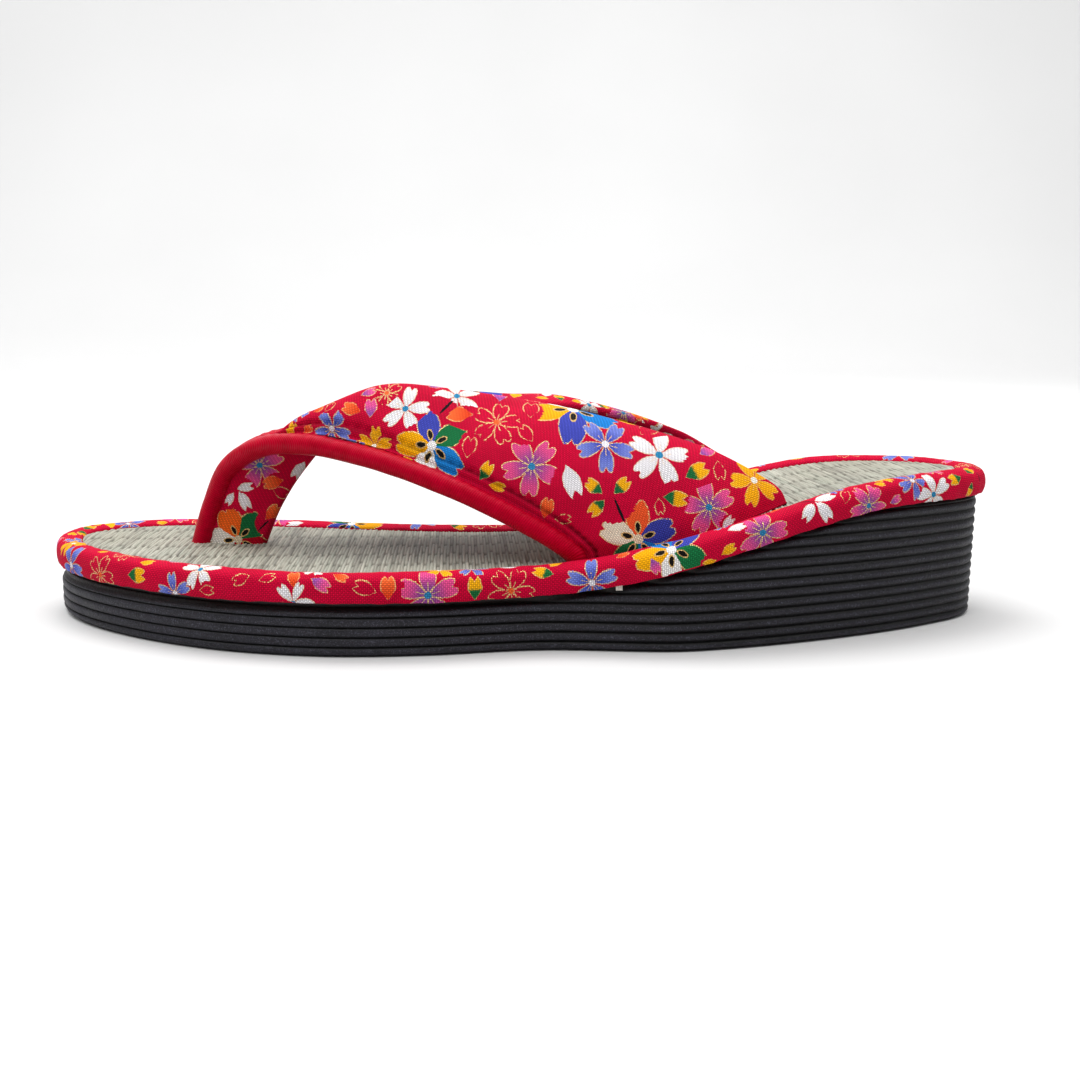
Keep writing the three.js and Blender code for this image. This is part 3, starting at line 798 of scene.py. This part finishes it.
# The back of the post, then the valley between the bands, then each band's rear edge.
rear_edge = {
    "x": [-66, -61, -54.5, -46, -32, -22, -8.5, 5, 19, 45.5, 60.5, 64],
    "lateral": [4, 4, 3.5, 3, 1.5, 0, -2, -3.5, -10, -20.5, -24, -25],
    "lateral_z": [17.5, 28.5, 38.5, 47, 52.5, 54, 54.5, 54, 51.5, 44.5, 37, 32.5],
    "medial": [4, 4, 3.5, 3, 1.5, 0, -2, -3, 6, 19, 22, 23],
    "medial_z": [17.5, 28.5, 38.5, 47, 52.5, 54, 54.5, 54, 52.5, 44.5, 37, 32.5],
}
last_step = steps[-1]
pipe_radius = 2.65                      # of the piping's cord
half_thick = 1.5                        # of the padded sheet
tucked = 0.7                            # how far both faces reach into the piping
rear_round = 0.9 * half_thick           # the rear edge is a little flatter than a half round
seam_at, seam_half = 2.2, 0.5           # the sunk seam, measured from the skin of the piping
band_rows, outer_columns = 330, 84
dense_columns, dense_width = 16, 4.5    # the columns next to the piping lie closer together
# The rear edge's columns: how far round the half turn from one face to the other.
edge_bend = np.radians([67, 40, 13, -13, -40, -67])


def line(table, side, t):
    """A point of one of the strap's long lines, t steps along it."""
    return joined(*(through(steps, table[key], t) for key in ("x", side, side + "_z")))


def sheet(side, t, s):
    """The middle of a band: across it, from the front edge (s = 0) over the crown (s = 0.5) to the
    rear edge (s = 1), runs the parabola through those three points."""
    s = np.asarray(s, float)[..., None]
    f, m, r = (line(table, side, t) for table in (front_edge, crown, rear_edge))
    return f * (1 - s) ** 2 + (2 * m - f / 2 - r / 2) * 2 * s * (1 - s) + r * s * s


def even_steps(curve, count):
    """Steps that lie at even distances along a curve, and those distances, each as a column."""
    fine = np.linspace(0, last_step, 1601)
    run = lengths(curve(fine)[:, None], 0)[:, 0]
    along = np.linspace(0, run[-1], count)[:, None]
    return np.interp(along, run, fine), along


def creases(along, across, folds):
    """Soft troughs and ridges, each along a straight line on the cloth: how far it sinks or stands
    is a bell curve of the distance from the line. Rows: from, to, half-width, height."""
    total = 0
    for (a0, b0), (a1, b1), width, height in folds:
        size = np.hypot(a1 - a0, b1 - b0)
        run = np.clip(((along - a0) * (a1 - a0) + (across - b0) * (b1 - b0)) / size ** 2, 0, 1)
        gap = np.hypot(along - a0 - run * (a1 - a0), across - b0 - run * (b1 - b0))
        total = total + height * bell(gap, width)
    return total


def band(side, hand, folds):
    """One band as a closed shell: its outer face, its rounded rear edge and its lining, which meet
    again inside the piping. Each end of the shell closes on the middle sheet. hand is 1 or -1, for
    the outward side of the sheet. Returns the points, the same shell without folds or seam, each
    point's millimetres along and across its face, and its place on the cloth round the shell."""
    t, along = even_steps(lambda k: sheet(side, k, 0.5), band_rows)
    width = lengths(sheet(side, t, np.linspace(0, 1, 41)), 1)[:, -1:]
    first, last = pipe_radius - tucked, width - rear_round
    dense = np.linspace(0, dense_width, dense_columns) + np.zeros_like(t)
    rest = np.linspace(0, 1, outer_columns - dense_columns + 1)[1:]
    one_face = first + np.concatenate([dense, dense_width + (last - first - dense_width) * rest], 1)
    # Round the shell: millimetres over the sheet, lift off it, and reach past its rear edge.
    over = np.concatenate([one_face, np.repeat(last, len(edge_bend), 1), one_face[:, ::-1]], 1)
    lift = np.concatenate([np.ones(outer_columns), np.sin(edge_bend), -np.ones(outer_columns)])
    past = np.pad(np.cos(edge_bend), outer_columns)
    # The sheet's slopes are taken over a small step each way.
    s = over / width
    ds = sheet(side, t, s + 0.01) - sheet(side, t, s - 0.01)
    dt = sheet(side, np.minimum(t + 0.08, last_step), s) - sheet(side, np.maximum(t - 0.08, 0), s)
    outward = unit(np.cross(ds, dt)) * -hand
    # The padding thins out towards both edges.
    from_pipe = over - pipe_radius
    plump = half_thick * (1 - 0.45 * bell(np.maximum(from_pipe, -0.5), 2.6) - 0.12 * bell(width - over, 3))
    # Beside the piping the cotton dips, rolls over its own folded edge and dips again at the seam,
    # deeper and shallower with each stitch.
    stitch = 1 + 0.35 * np.cos(2 * np.pi * along / 3.1 + np.sin(along / 7))
    seam = (-0.5 * bell(from_pipe - 0.15, 0.4) + 0.26 * bell(from_pipe - 1.1, 0.5)
            - 0.75 * stitch * bell(from_pipe - seam_at, seam_half))
    relief = creases(along, over, folds)
    offset = lift * plump + np.where(lift > 0, seam * (past == 0) + relief, 0.5 * relief)
    core = sheet(side, t, s)
    rounded = core + unit(ds) * (past * rear_round)[:, None]
    points = np.concatenate([core[:1], rounded + outward * offset[..., None], core[-1:]])
    skin = rounded + outward * (lift * half_thick)[:, None]
    outer_run, lining_run = (lengths(skin[:, [c]], 0) for c in (outer_columns // 2, -outer_columns // 2))
    half = len(lift) // 2
    by_face = lengths(skin[:, :half], 1), lengths(skin[:, ::-1][:, :half], 1)[:, ::-1]
    along = np.where(lift > 0, outer_run, lining_run)
    place = joined(along, first + np.concatenate(by_face, 1))
    cloth = joined(along, lengths(skin, 1))
    return points, *(np.pad(grid, ((1, 1), (0, 0), (0, 0)), "edge") for grid in (skin, place, cloth))


# Folds, in millimetres along and across each band.
lateral_folds = [
    ((40, 7.5), (96, 7.0), 2.6, 0.35), ((20, 6), (44, 5.5), 1.8, -0.3), ((128, 3.5), (151, 8), 3.0, -0.35),
    ((138, 2), (151, 18), 2.4, 0.3), ((60, 20), (84, 27), 5.0, 0.25), ((70, 30), (118, 40), 4.0, 0.2),
    ((104, 6), (128, 12), 3.5, 0.3), ((142, 30), (151, 31), 3.5, -0.3), ((143, 40), (151, 38), 3.0, 0.25),
    ((4, 9), (22, 10.5), 1.4, -0.3), ((2, 14), (16, 13.5), 1.2, 0.25), ((30, 12), (40, 15), 2.0, -0.25),
]
medial_folds = [
    ((38, 7), (90, 7.5), 2.6, 0.35), ((18, 6), (40, 5.5), 1.8, -0.3), ((122, 5), (140, 9), 3.0, -0.35),
    ((130, 3), (140, 16), 2.4, 0.3), ((56, 18), (80, 24), 5.0, 0.25), ((98, 8), (120, 14), 3.5, 0.3),
    ((128, 27), (140, 26), 3.0, -0.3), ((6, 8), (20, 10), 1.4, -0.3),
]

# The print on the little-toe band. Each row of a kind: millimetres along the band's crown from
# the foot of the post, millimetres across it from the front edge, turn in degrees, radius.
band_chart = {
    "white": [(73.5, 14, 95, 6), (79, 24, -25, 6), (126.5, 35, 105, 7.5), (30, 8, 40, 4.5)],
    "pink": [(111, 13, 75, 7), (143.5, 34.5, 150, 6.5), (12, 8, 10, 5)],
    "blue": [(58, 4, 60, 5), (40, 12, 20, 4.5)],
    "outline": [(94.5, 19.5, 95, 6), (65.5, 17, 50, 4), (90, 44, 0, 5)],
    "yellow": [(72.5, 2.5, 100, 4.5), (140.5, 49.5, 145, 6.5), (76, 37, 20, 4.5)],
    "large_a": [(86, 7, 125, 9)],
    "large_b": [(101, 37, -145, 11.5)],
    "large_c": [(145, 15.5, 160, 9)],
    "bud": [(102.5, 6.5, 80, 5), (126.5, 16.5, 175, 5), (130, 21, 80, 5), (132, 13, -95, 5),
            (134, 38, 60, 6.5), (138.5, 29, 35, 6), (48, 17, 60, 4.5)],
    "orange": [(61, 10, 170, 5), (50.5, 3.5, 30, 3), (49.5, 9.5, 25, 3), (85, 18, -160, 6.5),
               (123, 5.5, 105, 5), (22, 13, 200, 4.5)],
    "rose": [(65.5, 11.5, 105, 5), (61, 16, 25, 4), (84, 32.5, 100, 6), (129, 46.5, 60, 5),
             (70.5, 27, 40, 4.5)],
    "petal": [(121.5, 15, -40, 8), (148, 37.5, 120, 4)],
    "line": [(53, 10, 45, 3.5), (94.5, 10, 100, 5.5), (96, 29, 105, 6.5), (129, 5.5, 35, 4),
             (139, 24.5, -40, 4), (135.5, 43.5, -55, 5), (116.5, 42.5, 70, 7), (103, 20, 150, 5)],
    "gold": [(108, 4.5, 15, 4), (44, 4, 60, 4), (110, 47, 30, 5)],
    "twig": [(135.5, 16.5, -25, 6.5), (80.5, 20, -110, 6.5)],
}
band_over = {"blue": [(117.5, 28.5, 80, 7)]}
# The lining of the post, which shows beside the toes.
post_chart = {
    "large_e": [(2.5, 10, 40, 8.5)], "pink": [(24.5, 8, 50, 6.5)], "rose": [(33, 12, 80, 5)],
    "petal": [(13, 8.5, -130, 5.5), (17, 7.5, -50, 4.5), (13.5, 4.5, 170, 4), (23, 19, -175, 5.5)],
    "orange": [(18.5, 14, 135, 5.5), (9.5, 17, -20, 5)], "line": [(15.5, 17, -85, 5)],
    "twig": [(6, 15.5, -25, 4.5)],
}
# The rear edge of the big-toe band, which shows over the valley.
valley_chart = {
    "petal": [(93, 36.5, 60, 5)], "bud": [(93.5, 40.5, 80, 4.5), (103, 43, 20, 4)],
    "gold": [(96, 42.5, 10, 3.5), (88.5, 41, 0, 3.5)], "white": [(98.5, 44, 20, 5.5)],
    "pink": [(106.5, 46, 60, 5.5)], "orange": [(110.5, 45.5, 0, 3.5)], "line": [(114.5, 46.5, 25, 4.5)],
}
# More of it for the foot of the big-toe band.
arch_chart = {
    "blue": [(129, 9, 30, 5.5)], "white": [(128, 21, 80, 5.5)], "pink": [(130, 34, 10, 5.5)],
    "bud": [(136, 15, 140, 4.5)], "orange": [(136, 27, 60, 4.5)], "outline": [(122, 36, 20, 4.5)],
    "rose": [(122, 15, 50, 4.5)], "yellow": [(136, 41, 120, 4.5)], "line": [(121, 44, 200, 4.5)],
}


def moved(rows, along, across, spin):
    """The same repeat laid further on, inside the band."""
    return [(kind, a + along, b + across, turn + spin, radius) for kind, a, b, turn, radius in rows]


def past_row(rows, along):
    """The rows that lie further along the band than this."""
    return [row for row in rows if row[1] > along]


def on_band(place, rows, columns):
    """Finds the grid point of each row of a chart among some of the columns."""
    spots = []
    for kind, along, across, turn, radius in rows:
        off = ((place[:, columns] - (along, across)) ** 2).sum(-1)
        i, j = np.unravel_index(np.argmin(off), off.shape)
        spots.append((kind, i, np.arange(place.shape[1])[columns][j], turn, radius))
    return spots


repeat = rows_of(band_chart)
lateral_print = (repeat, rows_of(band_over), rows_of(post_chart) + past_row(moved(repeat, 6, -3, 75), 42))
medial_print = (rows_of(valley_chart) + rows_of(arch_chart) + moved(past_row(repeat, 30), -26, -9, 40), [],
                moved(repeat, -9, 2, 120))
stretched = np.array([1, 0.68, 1])      # the cotton is drawn out sideways over the padding
# The big-toe band is of the other hand, so its columns are counted the other way round the shell.
for side, hand, folds, (outer_rows, over_rows, lining_rows) in (
        ("lateral", 1, lateral_folds, lateral_print), ("medial", -1, medial_folds, medial_print)):
    points, skin, place, cloth = (grid[:, ::hand] for grid in band(side, hand, folds))
    outer_face, lining_face = (slice(0, outer_columns), slice(-outer_columns, None))[::hand]
    # Painted shade along the sunk seam beside the piping, on the outer face only.
    seam_shade_mark = bell(place[..., 1] - pipe_radius - seam_at, seam_half)
    seam_shade_mark[:, lining_face] = 0
    closing_strip = cloth[:, -1:] + [0, 1.5]        # inside the piping, where the faces meet
    cloth = np.concatenate([cloth, closing_strip], 1)
    piece = surface("strap_band_" + side, points, round_columns=True, cloth=cloth, seam=seam_shade_mark)
    skin = skin * stretched
    tangents, normals = frames_of(skin, False, True)
    tangents[[0, -1]], normals[[0, -1]] = tangents[[1, -2]], normals[[1, -2]]
    spots = on_band(place, outer_rows, outer_face) + on_band(place, lining_rows, lining_face)
    lay_print(piece, skin, normals, tangents, spots, "under")
    lay_print(piece, skin, normals, tangents, on_band(place, over_rows, outer_face), "over")
    join_poles(piece)
    wear(piece, cotton)
    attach(piece, "root")
    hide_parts("strap")


# ==== piping ====
# A cord covered with a bias strip of red satin, sewn along the front edge of each band. It goes
# down into the mat with the strap at the post and at the arch.

pipe_rows, pipe_sides = 360, 28
satin_rib = 0.55

# Corded satin: a deep clear red with a soft shine, and fine ribs 0.55 mm apart across the cord,
# a little aslant.
satin, node = new_material("red_satin_piping")
spot = node("UVMap", uv_map="cloth").outputs["UV"]
flat_place = node("SeparateXYZ", spot)
slant = node("ADD", flat_place.outputs["X"], node("MULTIPLY", flat_place.outputs["Y"], 0.18))
ribs = node("SINE", node("MULTIPLY", slant, 2 * np.pi / satin_rib))
cloud = node("TexNoise", spot, Scale=0.35, Detail=3.0)
dye = node("ValToRGB", cloud, stops=[(0.3, "#a9001d"), (0.7, "#bd0027")])
dye = node("VectorMath", dye, Scale=node("MapRange", ribs, -1.0, 1.0, 0.82, 1.06), operation="SCALE")
bump = node("Bump", Height=ribs, Strength=0.5, Distance=0.00008)
body = node("BsdfPrincipled", Base_Color=dye, Roughness=0.42, Specular_IOR_Level=0.28,
            Specular_Tint="#ff4470", Normal=bump)
node("OutputMaterial", body)


def piping(side):
    """A round cord along the front edge, with slight puckers where the stitches pull it in on the
    side towards the band."""
    t, along = even_steps(lambda k: line(front_edge, side, k), pipe_rows)
    centre = line(front_edge, side, t[:, 0])
    ahead = unit(np.gradient(centre, axis=0))
    ahead[0], ahead[-1] = (0, 0, 1), (0, 0, -1)
    inward = unit(sheet(side, t[:, 0], 0.12) - centre)
    inward = unit(inward - ahead * (inward * ahead).sum(-1, keepdims=True))
    other = np.cross(ahead, inward)
    angle = all_round(pipe_sides)
    pull = np.maximum(np.cos(angle), 0) ** 2 * (0.10 + 0.12 * np.cos(2 * np.pi * along / 2.3))
    soft = 0.05 * np.sin(along / 3.1 + 2 * np.sin(along / 11)) * np.cos(angle * 2 + along / 9)
    radius = pipe_radius * (1 - pull * 0.3) + soft
    ring = np.cos(angle)[:, None] * inward[:, None] + np.sin(angle)[:, None] * other[:, None]
    points = centre[:, None] + ring * radius[..., None]
    tips = np.repeat(centre[[0, -1], None], pipe_sides, 1)
    points = np.concatenate([tips[:1], points, tips[1:]])
    around = np.arange(pipe_sides + 1) * 2 * np.pi * pipe_radius / pipe_sides
    return points, joined(np.pad(along, ((1, 1), (0, 0)), "edge"), around)


for side in ("lateral", "medial"):
    points, cloth = piping(side)
    piece = surface("satin_piping_" + side, points[::-1], round_columns=True, cloth=cloth[::-1], weld=True)
    wear(piece, satin)
    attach(piece, "root")
    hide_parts("piping_" + side)


# ==== camera, floor and light ====
# The sandal is seen almost square from its little-toe side, a little from above. It stands on a
# pale paper sweep, under two soft lamps and a weak even sky; a third lamp brightens the backdrop.

tilt, yaw, roll = 0.1752, 0.0632, -0.0038       # radians: down, towards the heel, about its axis
gaze = np.array([np.sin(yaw) * np.cos(tilt), np.cos(yaw) * np.cos(tilt), -np.sin(tilt)])
right = np.array([np.cos(yaw), -np.sin(yaw), 0.0])
down = np.cross(gaze, right)
level = right * np.cos(roll) + down * np.sin(roll)
drop = down * np.cos(roll) - right * np.sin(roll)
camera_place = np.array([-16.0, -332.0, 78.55]) * mm
stand = Matrix.Identity(4)
for k, column in enumerate((level, -drop, -gaze, camera_place)):
    stand.col[k][:3] = column
camera = bpy.data.objects.new("camera", bpy.data.cameras.new("camera"))
camera.data.sensor_width, camera.data.lens = 36.0, 43.38
camera.data.clip_start = 0.01
camera.matrix_world = stand
bpy.context.scene.collection.objects.link(camera)
bpy.context.scene.camera = camera

# A pale floor that curves up behind into a backdrop, here in metres.
floor_end, bend_radius = 1.2, 0.9
bend = np.linspace(0.1, np.pi / 2, 14)
curved = joined(floor_end + bend_radius * np.sin(bend), bend_radius * (1 - np.cos(bend)))
sweep = np.concatenate([[(-4.0, 0.0), (floor_end, 0.0)], curved, [(floor_end + bend_radius, 4.0)]])
across = np.linspace(-5, 5, 3)[:, None]
floor = surface("floor", joined(across, *sweep.T) / mm - to_origin)
paper, node = new_material("pale_paper")
cloud = node("TexNoise", node("TexCoord").outputs["Object"], Scale=3.0)
tone = node("ValToRGB", cloud, stops=[(0.3, "#d0d0d0"), (0.7, "#d3d3d3")])
node("OutputMaterial", node("BsdfPrincipled", Base_Color=tone, Roughness=0.9))
wear(floor, paper)

world = bpy.data.worlds.new("studio")
bpy.context.scene.world = world
world.use_nodes = True
sky = world.node_tree.nodes["Background"].inputs
sky["Color"].default_value, sky["Strength"].default_value = (1, 1, 1, 1), 0.24
for name, place, aim, size, power in (("top", (-0.35, 0.4, 1.2), (0, 0, 0), 0.7, 7.2),
                                      ("front", (-0.4, -0.75, 1.2), (0, 0, 0.03), 0.7, 4.0),
                                      ("backdrop", (0, 0.8, 1.7), (0, 1.9, 0.3), 3.2, 66.0)):
    lamp = bpy.data.lights.new(name, "AREA")
    lamp.size, lamp.energy = size, power
    holder = bpy.data.objects.new(name, lamp)
    holder.location = place
    holder.rotation_euler = (Vector(aim) - Vector(place)).to_track_quat("-Z", "Y").to_euler()
    bpy.context.scene.collection.objects.link(holder)
bpy.context.scene.view_settings.view_transform = "Standard"
